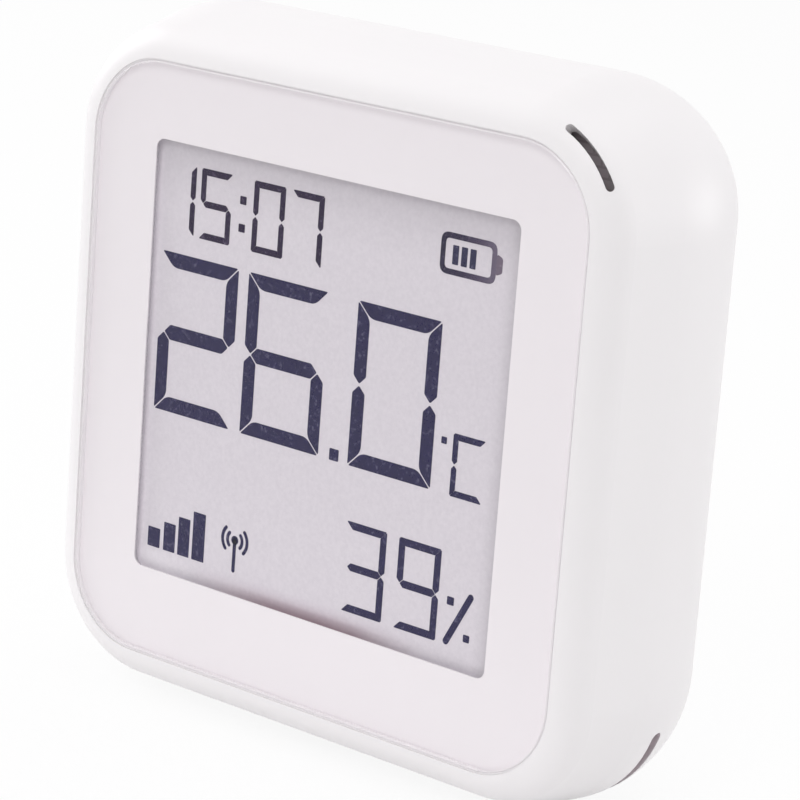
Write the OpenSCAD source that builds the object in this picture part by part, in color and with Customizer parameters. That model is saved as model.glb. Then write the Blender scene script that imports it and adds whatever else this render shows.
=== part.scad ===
// Wall-hung temperature and humidity sensor with an electronic-paper display.
// It is modelled lying on its back: x runs right, y up the wall and z out of the wall, with
// z = 0 on the wall face. upright() turns it to its own frame, with Z up and the front on -Y.

/* [Body] */
// Side of the square body at its widest
body_w = 70; // [70:1:84]
// Depth from the wall face to the front
body_d = 26; // [26:0.5:32]
// Radius of the body's corners at its widest
corner_r = 13.2; // [12:0.1:13.6]
// Radius of the rounding towards the wall
back_r = 14.5; // [14:0.1:15]
// Slope at which the rounding ends on the flat back
back_edge = 80; // [77:1:83]
// Radius of the front edge
front_r = 3.5; // [3:0.1:4]
// Slope of the sides towards the front
flare = 14; // [10:1:15]
// Thickness of the housing and cover walls
wall = 1.6; // [1.3:0.1:1.6]
// Thickness of the wall behind the front panel
front_wall = 1.6; // [1.2:0.1:2]
// Height of the seam above the wall face
seam_h = 5; // [4.6:0.1:5.4]
// Gap that shows at the seam
seam_gap = 0.15; // [0.1:0.05:0.3]
// Height of the cover's locating lip
lip_h = 1.2; // [0.8:0.1:1.3]
// Thickness of the cover's locating lip
lip_t = 0.9; // [0.7:0.1:1]
// Gap between the lip and the housing
lip_gap = 0.15; // [0.1:0.05:0.2]

/* [Vents] */
// Width of the slot in the front edge
top_vent_w = 0.8; // [0.6:0.1:1.2]
// Slope of the front edge where that slot opens
top_vent_tilt = 46; // [40:1:52]
// Slope at which that slot runs in, from straight back
top_vent_aim = 36; // [32:1:46]
// Angle round the corner where that slot starts
top_vent_from = 27; // [20:1:34]
// Angle that the slot in the front edge takes up
top_vent_span = 41; // [30:1:44]
// Width of the slot in the lower corner
low_vent_w = 1.4; // [1:0.1:2]
// Height of that slot above the wall face
low_vent_h = 14.1; // [13.5:0.1:15.5]
// Angle that the slot in the lower corner takes up
low_vent_span = 52; // [40:1:64]

/* [Front panel] */
// How far the panel reaches onto the front edge
panel_reach = 0.11; // [0:0.01:0.2]
// Gap round the panel
panel_gap = 0.15; // [0.1:0.05:0.35]
// Thickness of the clear panel
panel_t = 0.8; // [0.7:0.1:1.2]
// Rounding of the panel's front edge
panel_edge_r = 0.4; // [0.2:0.1:0.5]
// Thickness of the printed mask behind the panel
mask_t = 0.1; // [0.1:0.05:0.2]
// Print that is left at each side of the window
window_side = 7.7; // [7:0.1:10]
// Print that is left above the window
window_top = 7.6; // [7:0.1:10]
// Print that is left below the window
window_foot = 8.8; // [8.5:0.1:11]
// Corner radius of the window
window_r = 1; // [0.5:0.1:2]

/* [Display] */
// How far the display film reaches past the window
film_margin = 1.35; // [1.2:0.05:1.5]
// Thickness of the display film
film_t = 0.4; // [0.3:0.05:0.5]
// How far the display glass reaches past the film
glass_margin = 0.2; // [0.1:0.05:0.3]
// Ledge of bare glass below the film
glass_ledge = 2.6; // [2:0.1:2.8]
// Width of the foam gasket
gasket_w = 0.9; // [0.6:0.1:1]
// Thickness of the foam gasket
gasket_t = 0.7; // [0.5:0.05:0.8]
// Gap between the glass and the housing
glass_gap = 0.25; // [0.15:0.05:0.35]
// Thickness of the carrier behind the display
carrier_t = 0.8; // [0.6:0.1:1]
// Width of the carrier's frame past the glass
carrier_rim = 1.8; // [1.4:0.1:2.2]
// Width of the flex
flex_w = 10; // [8:0.5:14]
// Thickness of the flex
flex_t = 0.12; // [0.1:0.02:0.2]
// Inner bend radius of the flex
flex_bend = 0.5; // [0.4:0.1:0.6]

/* [Board] */
// Thickness of the circuit board
board_t = 1; // [0.8:0.1:1.2]
// Gap between the carrier and the board
board_lift = 0.6; // [0.4:0.1:0.8]
// Gap between the board's edge and the housing
board_gap = 0.5; // [0.4:0.1:0.8]
// Sideways place of the screw bosses
boss_x = 17; // [16:0.5:18]
// Distance of the screw bosses from the outside of the body's widest line
boss_edge = 5.1; // [5:0.05:5.3]
// Radius of the boss shoulder that carries the board
boss_r = 2.8; // [2.5:0.05:2.8]
// Radius of the boss neck that passes the board
neck_r = 1.9; // [1.7:0.1:2]
// Radius of the screw shanks
screw_r = 0.95; // [0.8:0.05:1]
// Radius of the screw heads
screw_head_r = 1.8; // [1.6:0.05:1.9]
// Height of the conical screw heads
screw_head_h = 1; // [0.9:0.05:1.1]
// Length of the screws
screw_l = 6; // [5:0.5:6]
// Width of the power socket
usb_w = 8.94; // [8.9:0.02:9.2]
// Height of the power socket
usb_t = 3.2; // [3.1:0.02:3.3]
// Length of the power socket
usb_l = 7.35; // [6.8:0.05:7.4]
// Thickness of the socket's metal shell
usb_wall = 0.3; // [0.2:0.05:0.35]
// Gap between the socket and the housing
usb_gap = 0.25; // [0.15:0.05:0.4]
// Side of the sensor chip
sensor_w = 2.5; // [2:0.1:3]
// Width of the slots milled round the sensor
sensor_slot = 1; // [0.8:0.1:1.2]

/* [Batteries] */
// Diameter of a cell
cell_d = 14.5; // [13.8:0.1:14.5]
// Length of a cell with its positive cap
cell_l = 50.5; // [49.5:0.1:50.5]
// Diameter of the positive cap
cap_d = 5.5; // [5:0.1:5.6]
// Height of the positive cap
cap_h = 1.2; // [1:0.1:1.4]
// Gap between neighbouring cells
cell_gap = 0.1; // [0.1:0.02:0.14]
// Gap between the cells and the cover
cell_back_gap = 1.15; // [1.05:0.05:1.3]
// Gap between the cells and their tray
cradle_gap = 0.15; // [0.1:0.05:0.25]
// Thickness of the tray's floor
tray_floor = 1.5; // [1.3:0.1:1.6]
// Thickness of the tray's upright walls
tray_wall = 0.9; // [0.7:0.05:1]
// Room for the contacts at each end of a cell
contact_room = 1.35; // [1.2:0.05:1.4]
// Thickness of the contact strip
contact_t = 0.3; // [0.2:0.05:0.35]
// Side of a contact plate
contact_w = 9; // [8:0.5:9]

/* [Reset button] */
// Radius of the button's stem
stem_r = 1.4; // [1.2:0.05:1.5]
// Gap round the stem and round the switch plunger
stem_gap = 0.05; // [0.03:0.01:0.08]
// Travel of the button
button_travel = 0.25; // [0.2:0.01:0.26]
// Sideways place of the button
button_x = 10; // [8:0.5:11]
// Height of the stem's end above the wall face
button_end_h = 9; // [8:0.5:11]

/* [Wall fixing] */
// Diameter of the keyhole's entry for a screw head
key_entry_d = 7.4; // [7.2:0.1:7.6]
// Width of the keyhole's slot for a screw shank
key_slot_w = 3.4; // [3.2:0.1:3.8]
// Drop from the entry to the end of the slot
key_drop = 7; // [6:0.5:8]

/* [Hidden] */
$fn = 64;
// Overshoot of cuts past the faces they open
cut = 1;

// Plan of the body: the corner centres, and the centre and height of the rounding at the back
corner_c = body_w / 2 - corner_r;
back_c = body_w / 2 - back_r;
arc_h = back_r * sin(back_edge);
front_arc_h = body_d - front_r;
// Half of the flat front, where the front edge begins
front_half = back_c + (back_r - front_r - (front_arc_h - arc_h) * sin(flare)) / cos(flare);

// Half-width of the body, or of its hollow when inset by the wall, at a height above the wall
function half_at(h, inset) =
    h <= arc_h + (back_r - inset) * sin(flare)
    ? back_c + sqrt(pow(back_r - inset, 2) - pow(h - arc_h, 2))
    : back_c + (back_r - inset - (h - arc_h) * sin(flare)) / cos(flare);

// Share of the slot's width that the round ends of the slot in the front edge take
vent_end = 0.96;

// Stack of layers, from the front inwards
panel_half = front_half + panel_reach;
mask_h = body_d - panel_t;
recess_h = mask_h - mask_t;
film_front_h = recess_h - gasket_t;
glass_front_h = film_front_h - film_t;
hollow_h = recess_h - front_wall;
carrier_back_h = hollow_h - carrier_t;
board_front_h = carrier_back_h - board_lift;
board_h = board_front_h - board_t;

// Window and display outlines
window_w = 2 * (panel_half - window_side);
window_h = 2 * panel_half - window_top - window_foot;
window_y = (window_foot - window_top) / 2;
film_w = window_w + 2 * film_margin;
film_l = window_h + 2 * film_margin;
glass_w = film_w + 2 * glass_margin;
glass_top = window_y + film_l / 2 + glass_margin;
glass_foot = window_y - film_l / 2 - glass_ledge;
film_r = window_r + film_margin;
flex_run_y = glass_foot - flex_bend - flex_t;
opening_foot = flex_run_y - flex_t - glass_gap;
// Slots that pass the flex through the carrier and the board
flex_slot_gap = 0.3;
carrier_bar = 4;
// Connector on the back of the board, and the flex that enters it
bond_end = 0.6;
bond_l = glass_ledge - bond_end;
tail_l = 2.6;
tail_drop = 0.6;
flex_tail_h = board_h - tail_drop;
connector_t = 1.1;
connector_l = 3.8;
connector_side = 1;
connector_back = 1;
connector_gap = 0.4;
entry_side_gap = 0.2;
entry_gap = 0.1;
connector_w = flex_w + 2 * connector_side;
connector_y = flex_run_y + flex_bend + connector_gap + connector_l / 2;

// Board outline and the bosses that carry it
board_half = half_at(board_front_h, wall) - board_gap;
boss_y = body_w / 2 - boss_edge;
boss_gap = 0.2;
sensor_t = 0.9;
sensor_port_r = 0.4;
sensor_edge = 1;
sensor_x = board_half - sensor_w / 2 - sensor_edge;
sensor_y = -16;
island_l = sensor_w + 3 * sensor_edge;
island_w = sensor_w + 2 * sensor_edge;

// Pieces on the back of the board: the radio's in the upper left, the power supply's in the right
shield_x = -13;
shield_y = 13;
shield_w = 15;
shield_l = 12;
shield_t = 1.4;
shield_skin = 0.2;
shield_r = 0.6;
radio_w = 5;
radio_t = 0.85;
radio_off = 2.5;
radio_x = shield_x - radio_off;
crystal_w = 2.5;
crystal_l = 2;
crystal_t = 0.6;
crystal_r = 0.2;
crystal_off = 4;
crystal_x = shield_x + crystal_off;
antenna_w = 5.2;
antenna_l = 2;
antenna_t = 1.1;
antenna_off = 4;
antenna_edge = 1.6;
antenna_x = shield_x + antenna_off;
antenna_y = board_half - antenna_edge;
inductor_w = 4;
inductor_t = 1.5;
inductor_r = 0.8;
inductor_x = 10;
regulator_w = 3;
regulator_l = 1.75;
regulator_t = 1.1;
regulator_x = 16;
supply_y = 12;
small_cap = [1.6, 0.8, 0.8];
small_caps = [[7, 6.5], [10, 6.5], [13, 6.5], [16, 6.5], [-22, 2.5], [-19, 2.5], [-16, 2.5]];
large_cap = [3.5, 2.8, 1.4];
large_caps = [[10, 17.5], [15, 17.5]];

// Batteries, their tray and their contacts
cell_r = cell_d / 2;
cell_pitch = cell_d + cell_gap;
cell_h = wall + cell_back_gap + cell_r;
cell_x = [for (i = [0:3]) (i - 1.5) * cell_pitch];
cell_edge = 0.5;
tray_back_h = cell_h + cell_r + cradle_gap;
tray_front_h = tray_back_h + tray_floor;
tray_gap = 0.6;
tray_half = half_at(tray_front_h, wall) - tray_gap;
contact_y = cell_l / 2 + contact_room;
end_wall_y = contact_y + contact_t;
end_wall_out = end_wall_y + tray_wall;
end_wall_side = 1;
end_wall_lift = 0.4;
end_wall_half = cell_x[3] + contact_w / 2 + end_wall_side;
end_wall_h = seam_h + lip_h + end_wall_lift;
side_wall_x = cell_x[3] + cell_r + cradle_gap;
side_wall_l = 40;
cradle_w = 6;
cradle_lift = 2.6;
cradle_top = cell_h + cradle_lift;
cradle_l = 44;
terminal_w = 3;
terminal_gap = 0.3;
leaf_w = 5;
leaf_chord = 7;
dimple_r = 2;
contact_touch = 0.05;

// Power socket
usb_h = board_h - usb_t / 2;
usb_sink = 0.72;
usb_mouth = half_at(usb_h, 0) - usb_sink;
usb_notch = 0.45;
// Short flat that parts the two arcs of each end of the socket
usb_flat = 0.01;
tongue_side = 1.2;
tongue_gap = 0.4;
tongue_t = 0.7;

// Reset switch, its plunger and its button
button_gap = 0.3;
button_y = -(end_wall_out + button_gap + stem_r);
switch_t = 1;
switch_w = 4.4;
switch_l = 3;
plunger_r = 0.85;
plunger_out = 0.3;
plunger_in = 0.4;
collar_r = 2.1;
collar_lift = 0.02;
plunger_h = board_h - switch_t - plunger_out;

// Cover and its wall fixing
lip_half = half_at(seam_h, wall) - lip_gap;
lip_in = lip_half - lip_t;
lip_bury = 0.4;
// Height at which the lip is rooted in the cover's curved wall
lip_root_h = arc_h - sqrt(pow(back_r - wall, 2) - pow(lip_in - back_c, 2)) - lip_bury;
lip_end = 3;
lip_l = 2 * (corner_c - lip_end);
key_x = cell_pitch;
key_entry_y = -key_drop / 2;
rib_gap = 0.3;
rib_w = 1.2;
rib_y = 17;
rib_end = 2;
rib_half = corner_c - rib_end;

// Turns the model from lying on its back to standing against the wall
module upright() {
    rotate([90, 0, 0])
        children();
}

// Half-section of the body from a corner centre outwards, inset by a wall, between two heights
module body_profile(inset, low, high) {
    back_s = back_c - corner_c;
    front_s = front_half - corner_c;
    out = [cos(flare), sin(flare)];
    flat_s = back_s + sqrt(pow(back_r - inset, 2) - pow(arc_h - inset, 2));
    intersection() {
        union() {
            translate([back_s, arc_h])
                circle(back_r - inset);
            translate([front_s, front_arc_h])
                circle(front_r - inset);
            polygon([
                [0, inset],
                [flat_s, inset],
                [back_s, arc_h] + (back_r - inset) * out,
                [front_s, front_arc_h] + (front_r - inset) * out,
                [front_s, body_d - inset],
                [0, body_d - inset]
            ]);
        }
        translate([0, low])
            square([body_w, high - low]);
    }
}

// The body's rounded form: its section run along the sides and turned round the corners
module pillow(inset, low, high) {
    for (a = [0:90:270])
        rotate(a)
            translate([corner_c, corner_c, 0])
                rotate_extrude(angle = 90)
                    body_profile(inset, low, high);
    for (a = [0, 90])
        rotate([90, 0, a])
            linear_extrude(2 * corner_c, center = true)
                for (side = [0, 1])
                    mirror([side, 0])
                        union() {
                            translate([corner_c, 0])
                                body_profile(inset, low, high);
                            translate([-cut, low])
                                square([corner_c + cut, high - low]);
                        }
}

// Rounded rectangle, w by l, centred
module rounded(w, l, r) {
    square([w - 2 * r, l], center = true);
    square([w, l - 2 * r], center = true);
    for (x = [-1, 1], y = [-1, 1])
        translate([x * (w / 2 - r), y * (l / 2 - r)])
            circle(r);
}

// Rounded square plate that follows the body's corner centres, from low to high
module corner_plate(half, low, high) {
    translate([0, 0, low])
        linear_extrude(high - low)
            rounded(2 * half, 2 * half, half - corner_c);
}

// Plain block between two heights, centred on x and y
module block(x, y, w, l, low, high) {
    translate([x - w / 2, y - l / 2, low])
        cube([w, l, high - low]);
}

// Upright cylinder between two heights
module post(x, y, r, low, high) {
    translate([x, y, low])
        cylinder(r = r, h = high - low);
}

// Repeats its children at the four screw bosses
module at_bosses() {
    for (x = [-1, 1], y = [-1, 1])
        translate([x * boss_x, y * boss_y, 0])
            children();
}

// Cutter for the slot in the front edge at the upper right corner
module top_vent() {
    depth = front_wall + mask_t + panel_t + cut;
    mouth_s = front_half - corner_c + front_r * sin(top_vent_tilt);
    mouth_h = front_arc_h + front_r * cos(top_vent_tilt);
    end_turn = asin(top_vent_w / 2 / mouth_s);
    translate([corner_c, corner_c, 0]) {
        rotate(top_vent_from + end_turn)
            rotate_extrude(angle = top_vent_span - 2 * end_turn)
                translate([mouth_s, mouth_h])
                    rotate(-top_vent_aim)
                        translate([-top_vent_w / 2, -depth])
                            square([top_vent_w, depth + cut]);
        for (a = [end_turn, top_vent_span - end_turn])
            rotate(top_vent_from + a)
                translate([mouth_s, 0, mouth_h])
                    rotate([0, top_vent_aim, 0])
                        translate([0, 0, -depth])
                            cylinder(d = top_vent_w * vent_end, h = depth + cut);
    }
}

// Cutter for the slot in the lower right corner
module low_vent() {
    inner_r = corner_r - wall - cut;
    translate([corner_c, -corner_c, low_vent_h]) {
        rotate(-45 - low_vent_span / 2)
            rotate_extrude(angle = low_vent_span)
                translate([inner_r, -low_vent_w / 2])
                    square([wall + 2 * cut, low_vent_w]);
        for (a = [-low_vent_span / 2, low_vent_span / 2])
            rotate(a - 45)
                translate([inner_r, 0, 0])
                    rotate([0, 90, 0])
                        cylinder(d = low_vent_w, h = wall + 2 * cut);
    }
}

// Outline of the power socket, grown by a gap
module usb_outline(grow) {
    rounded(usb_w + 2 * grow, usb_t + 2 * grow, usb_t / 2 + grow - usb_flat);
}

// Power socket's outline run along y between two places
module usb_run(grow, from, to) {
    translate([0, to, usb_h])
        rotate([90, 0, 0])
            linear_extrude(to - from)
                usb_outline(grow);
}

module front_housing() {
    color("white")
        upright()
            difference() {
                union() {
                    difference() {
                        pillow(0, seam_h, body_d);
                        pillow(wall, seam_h - cut, hollow_h);
                    }
                    at_bosses() {
                        post(0, 0, boss_r, board_front_h, hollow_h + front_wall / 4);
                        post(0, 0, neck_r, tray_front_h, hollow_h);
                    }
                }
                corner_plate(panel_half + panel_gap, recess_h, body_d + cut);
                translate([0, (glass_top + glass_gap + opening_foot) / 2, hollow_h - cut])
                    linear_extrude(front_wall + 2 * cut)
                        rounded(glass_w + 2 * glass_gap, glass_top + glass_gap - opening_foot, film_r);
                at_bosses()
                    post(0, 0, screw_r + stem_gap, tray_front_h - cut, recess_h - front_wall / 2);
                usb_run(usb_gap, -body_w, -usb_mouth + usb_l / 2);
                top_vent();
                low_vent();
            }
}

module front_panel() {
    color("lavenderblush", 0.3)
        upright() {
            corner_plate(panel_half, mask_h, body_d - panel_edge_r);
            edge_s = panel_half - corner_c - panel_edge_r;
            low = body_d - panel_edge_r;
            for (a = [0:90:270])
                rotate(a)
                    translate([corner_c, corner_c, 0])
                        rotate_extrude(angle = 90)
                            panel_edge(edge_s, low);
            for (a = [0, 90])
                rotate([90, 0, a])
                    linear_extrude(2 * corner_c, center = true)
                        for (side = [0, 1])
                            mirror([side, 0])
                                union() {
                                    translate([corner_c, 0])
                                        panel_edge(edge_s, low);
                                    translate([-cut, low])
                                        square([corner_c + cut, panel_edge_r]);
                                }
        }
}

// Half-section of the panel's rounded front layer
module panel_edge(edge_s, low) {
    intersection() {
        union() {
            translate([edge_s, low])
                circle(panel_edge_r);
            translate([0, low])
                square([edge_s, panel_edge_r]);
        }
        translate([0, low])
            square([body_w, panel_edge_r]);
    }
}

module panel_mask() {
    color("white")
        upright()
            difference() {
                corner_plate(panel_half, recess_h, mask_h);
                translate([0, window_y, recess_h - cut])
                    linear_extrude(mask_t + 2 * cut)
                        rounded(window_w, window_h, window_r);
            }
}

module display_gasket() {
    color("lightgray")
        upright()
            translate([0, window_y, film_front_h])
                linear_extrude(gasket_t)
                    difference() {
                        rounded(film_w, film_l, film_r);
                        rounded(film_w - 2 * gasket_w, film_l - 2 * gasket_w, film_r - gasket_w);
                    }
}

module display_film() {
    color("gainsboro")
        upright()
            translate([0, window_y, glass_front_h])
                linear_extrude(film_t)
                    rounded(film_w, film_l, film_r);
}

module display_glass() {
    color("lightsteelblue")
        upright()
            translate([0, (glass_top + glass_foot) / 2, hollow_h])
                linear_extrude(glass_front_h - hollow_h)
                    rounded(glass_w, glass_top - glass_foot, film_r);
}

module display_carrier() {
    carrier_w = glass_w + 2 * (glass_gap + carrier_rim);
    carrier_top = glass_top + glass_gap + carrier_rim;
    carrier_foot = opening_foot - carrier_rim;
    color("whitesmoke")
        upright()
            difference() {
                translate([0, (carrier_top + carrier_foot) / 2, carrier_back_h])
                    linear_extrude(carrier_t)
                        difference() {
                            rounded(carrier_w, carrier_top - carrier_foot, film_r);
                            for (y = [-1, 1])
                                translate([0, y * window_h / 4])
                                    rounded(window_w - carrier_bar, window_h / 2 - carrier_bar, film_r);
                        }
                block(0, flex_run_y - flex_t / 2, flex_w + 2 * flex_slot_gap,
                    2 * (flex_bend + flex_slot_gap), carrier_back_h - cut, hollow_h + cut);
                at_bosses()
                    post(0, 0, boss_r + boss_gap, carrier_back_h - cut, hollow_h + cut);
            }
}

// Quarter of a bent strip, in the quadrant given by two signs
module flex_quarter(sx, sy) {
    intersection() {
        difference() {
            circle(flex_bend + flex_t);
            circle(flex_bend);
        }
        translate([sx < 0 ? -body_w : 0, sy < 0 ? -body_w : 0])
            square(body_w);
    }
}

module display_flex() {
    run_top = glass_front_h - flex_bend;
    run_foot = flex_tail_h + flex_bend + flex_t;
    color("peru")
        upright()
            translate([-flex_w / 2, 0, 0])
                rotate([90, 0, 90])
                    linear_extrude(flex_w) {
                        translate([glass_foot, glass_front_h])
                            square([bond_l, flex_t]);
                        translate([glass_foot, run_top])
                            flex_quarter(-1, 1);
                        translate([flex_run_y, run_foot])
                            square([flex_t, run_top - run_foot]);
                        translate([glass_foot, run_foot])
                            flex_quarter(-1, -1);
                        translate([glass_foot, flex_tail_h])
                            square([tail_l, flex_t]);
                    }
}

module display_connector() {
    color("ivory")
        upright()
            difference() {
                block(0, connector_y, connector_w, connector_l, board_h - connector_t, board_h);
                block(0, connector_y - connector_l / 2, flex_w + 2 * entry_side_gap,
                    2 * (connector_l - connector_back), flex_tail_h - entry_gap,
                    flex_tail_h + flex_t + entry_gap);
            }
}

module main_board() {
    color("mistyrose")
        upright()
            difference() {
                corner_plate(board_half, board_h, board_front_h);
                at_bosses()
                    post(0, 0, neck_r + boss_gap, board_h - cut, board_front_h + cut);
                block(0, flex_run_y - flex_t / 2, flex_w + 2 * flex_slot_gap,
                    2 * (flex_bend + flex_slot_gap), board_h - cut, board_front_h + cut);
                for (side = [-1, 1])
                    block(sensor_x - island_w / 4, sensor_y + side * (island_l + sensor_slot) / 2,
                        island_w * 1.5, sensor_slot, board_h - cut, board_front_h + cut);
                block(sensor_x - island_w / 2 - sensor_slot / 2, sensor_y, sensor_slot, island_l / 2,
                    board_h - cut, board_front_h + cut);
            }
}

module radio_chip() {
    color("black")
        upright()
            block(radio_x, shield_y, radio_w, radio_w, board_h - radio_t, board_h);
}

module radio_crystal() {
    color("silver")
        upright()
            translate([crystal_x, shield_y, board_h - crystal_t])
                linear_extrude(crystal_t)
                    rounded(crystal_w, crystal_l, crystal_r);
}

module radio_shield() {
    color("silver")
        upright()
            difference() {
                translate([shield_x, shield_y, board_h - shield_t])
                    linear_extrude(shield_t)
                        rounded(shield_w, shield_l, shield_r);
                block(shield_x, shield_y, shield_w - 2 * shield_skin, shield_l - 2 * shield_skin,
                    board_h - shield_t + shield_skin, board_h + cut);
            }
}

module chip_antenna() {
    color("lightyellow")
        upright()
            block(antenna_x, antenna_y, antenna_w, antenna_l, board_h - antenna_t, board_h);
}

module humidity_sensor() {
    color("dimgray")
        upright()
            difference() {
                block(sensor_x, sensor_y, sensor_w, sensor_w, board_h - sensor_t, board_h);
                post(sensor_x, sensor_y, sensor_port_r, board_h - sensor_t - cut,
                    board_h - sensor_t / 2);
            }
}

module power_socket() {
    color("silver")
        upright()
            difference() {
                usb_run(0, -usb_mouth, -usb_mouth + usb_l);
                usb_run(-usb_wall, -usb_mouth - cut, -usb_mouth + usb_l - usb_wall);
            }
}

module socket_tongue() {
    color("black")
        upright()
            block(0, -usb_mouth + (usb_l + tongue_gap) / 2, usb_w - 2 * tongue_side,
                usb_l - 2 * usb_wall - tongue_gap, usb_h - tongue_t / 2, usb_h + tongue_t / 2);
}

module power_inductor() {
    color("dimgray")
        upright()
            translate([inductor_x, supply_y, board_h - inductor_t])
                linear_extrude(inductor_t)
                    rounded(inductor_w, inductor_w, inductor_r);
}

module voltage_regulator() {
    color("black")
        upright()
            block(regulator_x, supply_y, regulator_w, regulator_l, board_h - regulator_t, board_h);
}

module capacitors() {
    color("tan")
        upright() {
            for (c = small_caps)
                block(c[0], c[1], small_cap[0], small_cap[1], board_h - small_cap[2], board_h);
            for (c = large_caps)
                block(c[0], c[1], large_cap[0], large_cap[1], board_h - large_cap[2], board_h);
        }
}

module reset_switch() {
    color("black")
        upright()
            difference() {
                block(button_x, button_y, switch_w, switch_l, board_h - switch_t, board_h);
                post(button_x, button_y, plunger_r + stem_gap, board_h - switch_t - cut,
                    board_h - switch_t + plunger_in + button_travel + stem_gap);
            }
}

module switch_plunger() {
    color("ivory")
        upright()
            post(button_x, button_y, plunger_r, plunger_h, board_h - switch_t + plunger_in);
}

module reset_button() {
    color("white")
        upright() {
            post(button_x, button_y, stem_r, button_end_h, plunger_h);
            post(button_x, button_y, collar_r, tray_front_h + collar_lift, plunger_h);
        }
}

module battery_tray() {
    color("whitesmoke")
        upright()
            difference() {
                union() {
                    corner_plate(tray_half, tray_back_h, tray_front_h);
                    for (side = [-1, 1]) {
                        block(0, side * (end_wall_y + tray_wall / 2), 2 * end_wall_half, tray_wall,
                            end_wall_h, tray_front_h);
                        block(side * (side_wall_x + tray_wall / 2), 0, tray_wall, side_wall_l,
                            cell_h, tray_front_h);
                    }
                    for (i = [0:2])
                        block((cell_x[i] + cell_x[i + 1]) / 2, 0, cradle_w, cradle_l,
                            cradle_top, tray_front_h);
                }
                for (x = cell_x)
                    translate([x, cell_l / 2 + contact_room / 2, cell_h])
                        rotate([90, 0, 0])
                            cylinder(r = cell_r + cradle_gap, h = cell_l + contact_room);
                at_bosses() {
                    post(0, 0, screw_r + stem_gap, tray_back_h - cut, tray_front_h + cut);
                    translate([0, 0, tray_back_h])
                        cylinder(r1 = screw_head_r + stem_gap, r2 = screw_r + stem_gap,
                            h = screw_head_h);
                }
                for (side = [-1, 1])
                    block(side * cell_x[3], contact_y + contact_t / 2, terminal_w + 2 * terminal_gap,
                        contact_t + 2 * terminal_gap, tray_back_h - cut, tray_front_h + cut);
                block(0, -body_w / 2, usb_w + 2 * usb_notch,
                    body_w - 2 * (usb_mouth - usb_l - usb_notch),
                    tray_back_h - cut, tray_front_h + cut);
                post(button_x, button_y, stem_r + stem_gap, tray_back_h - cut, tray_front_h + cut);
            }
}

module tray_screws() {
    color("silver")
        upright()
            at_bosses() {
                translate([0, 0, tray_back_h])
                    cylinder(r1 = screw_head_r, r2 = screw_r, h = screw_head_h);
                post(0, 0, screw_r, tray_back_h + screw_head_h, tray_back_h + screw_l);
            }
}

// Bent leaf that presses on a cell's flat end: a bow on a plate at y = 0, facing -y
module contact_leaf() {
    rise = contact_room - contact_touch;
    bow_r = (pow(leaf_chord / 2, 2) + pow(rise, 2)) / (2 * rise);
    translate([-leaf_w / 2, 0, 0])
        rotate([90, 0, 90])
            linear_extrude(leaf_w)
                intersection() {
                    translate([bow_r - rise, 0])
                        difference() {
                            circle(bow_r);
                            circle(bow_r - contact_t);
                        }
                    translate([-2 * rise, -leaf_chord])
                        square([2 * rise, 2 * leaf_chord]);
                }
}

// Contact for one cell: a plate with a bow for a flat end, or with a dimple for a cap
module contact(x, cap) {
    block(x, contact_y + contact_t / 2, contact_w, contact_t,
        cell_h - contact_w / 2, cell_h + contact_w / 2);
    translate([x, contact_y, cell_h])
        if (cap)
            rotate([90, 0, 0])
                cylinder(r = dimple_r, h = contact_room - contact_touch);
        else
            contact_leaf();
}

// Strip that joins two neighbouring contacts
module contact_bridge(i) {
    block((cell_x[i] + cell_x[i + 1]) / 2, contact_y + contact_t / 2,
        cell_pitch - contact_w + cut, contact_t, cell_h - contact_w / 4, cell_h + contact_w / 4);
}

// Strip from an end contact to the board
module contact_terminal(i) {
    block(cell_x[i], contact_y + contact_t / 2, terminal_w, contact_t,
        cell_h + contact_w / 2 - cut, board_h);
}

module upper_contacts() {
    color("silver")
        upright() {
            for (i = [0:3])
                contact(cell_x[i], i % 2 == 0);
            contact_bridge(1);
            for (i = [0, 3])
                contact_terminal(i);
        }
}

module lower_contacts() {
    color("silver")
        upright()
            rotate([0, 0, 180]) {
                for (i = [0:3])
                    contact(cell_x[i], i % 2 == 0);
                for (i = [0, 2])
                    contact_bridge(i);
            }
}

// One cell, with its cap up the wall when turn is 1 and down when it is -1
module cell(i, turn) {
    color("darkslategray")
        upright()
            translate([cell_x[i], 0, cell_h])
                rotate([-90 * turn, 0, 0])
                    translate([0, 0, -cell_l / 2])
                        rotate_extrude()
                            polygon([
                                [0, 0],
                                [cell_r - cell_edge, 0],
                                [cell_r, cell_edge],
                                [cell_r, cell_l - cap_h - cell_edge],
                                [cell_r - cell_edge, cell_l - cap_h],
                                [cap_d / 2, cell_l - cap_h],
                                [cap_d / 2, cell_l],
                                [0, cell_l]
                            ]);
}

module back_cover() {
    color("white")
        upright()
            difference() {
                union() {
                    difference() {
                        pillow(0, 0, seam_h - seam_gap);
                        pillow(wall, wall, seam_h + cut);
                    }
                    for (a = [0:90:270])
                        rotate(a)
                            block(lip_half - lip_t / 2, 0, lip_t, lip_l, lip_root_h, seam_h + lip_h);
                    for (y = [-rib_y, rib_y])
                        block(0, y, 2 * rib_half, rib_w, wall / 2, wall + cell_back_gap - rib_gap);
                }
                for (x = [-key_x, key_x]) {
                    post(x, key_entry_y, key_entry_d / 2, -cut, seam_h);
                    post(x, key_entry_y + key_drop, key_slot_w / 2, -cut, seam_h);
                    block(x, key_entry_y + key_drop / 2, key_slot_w, key_drop, -cut, seam_h);
                }
            }
}

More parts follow.
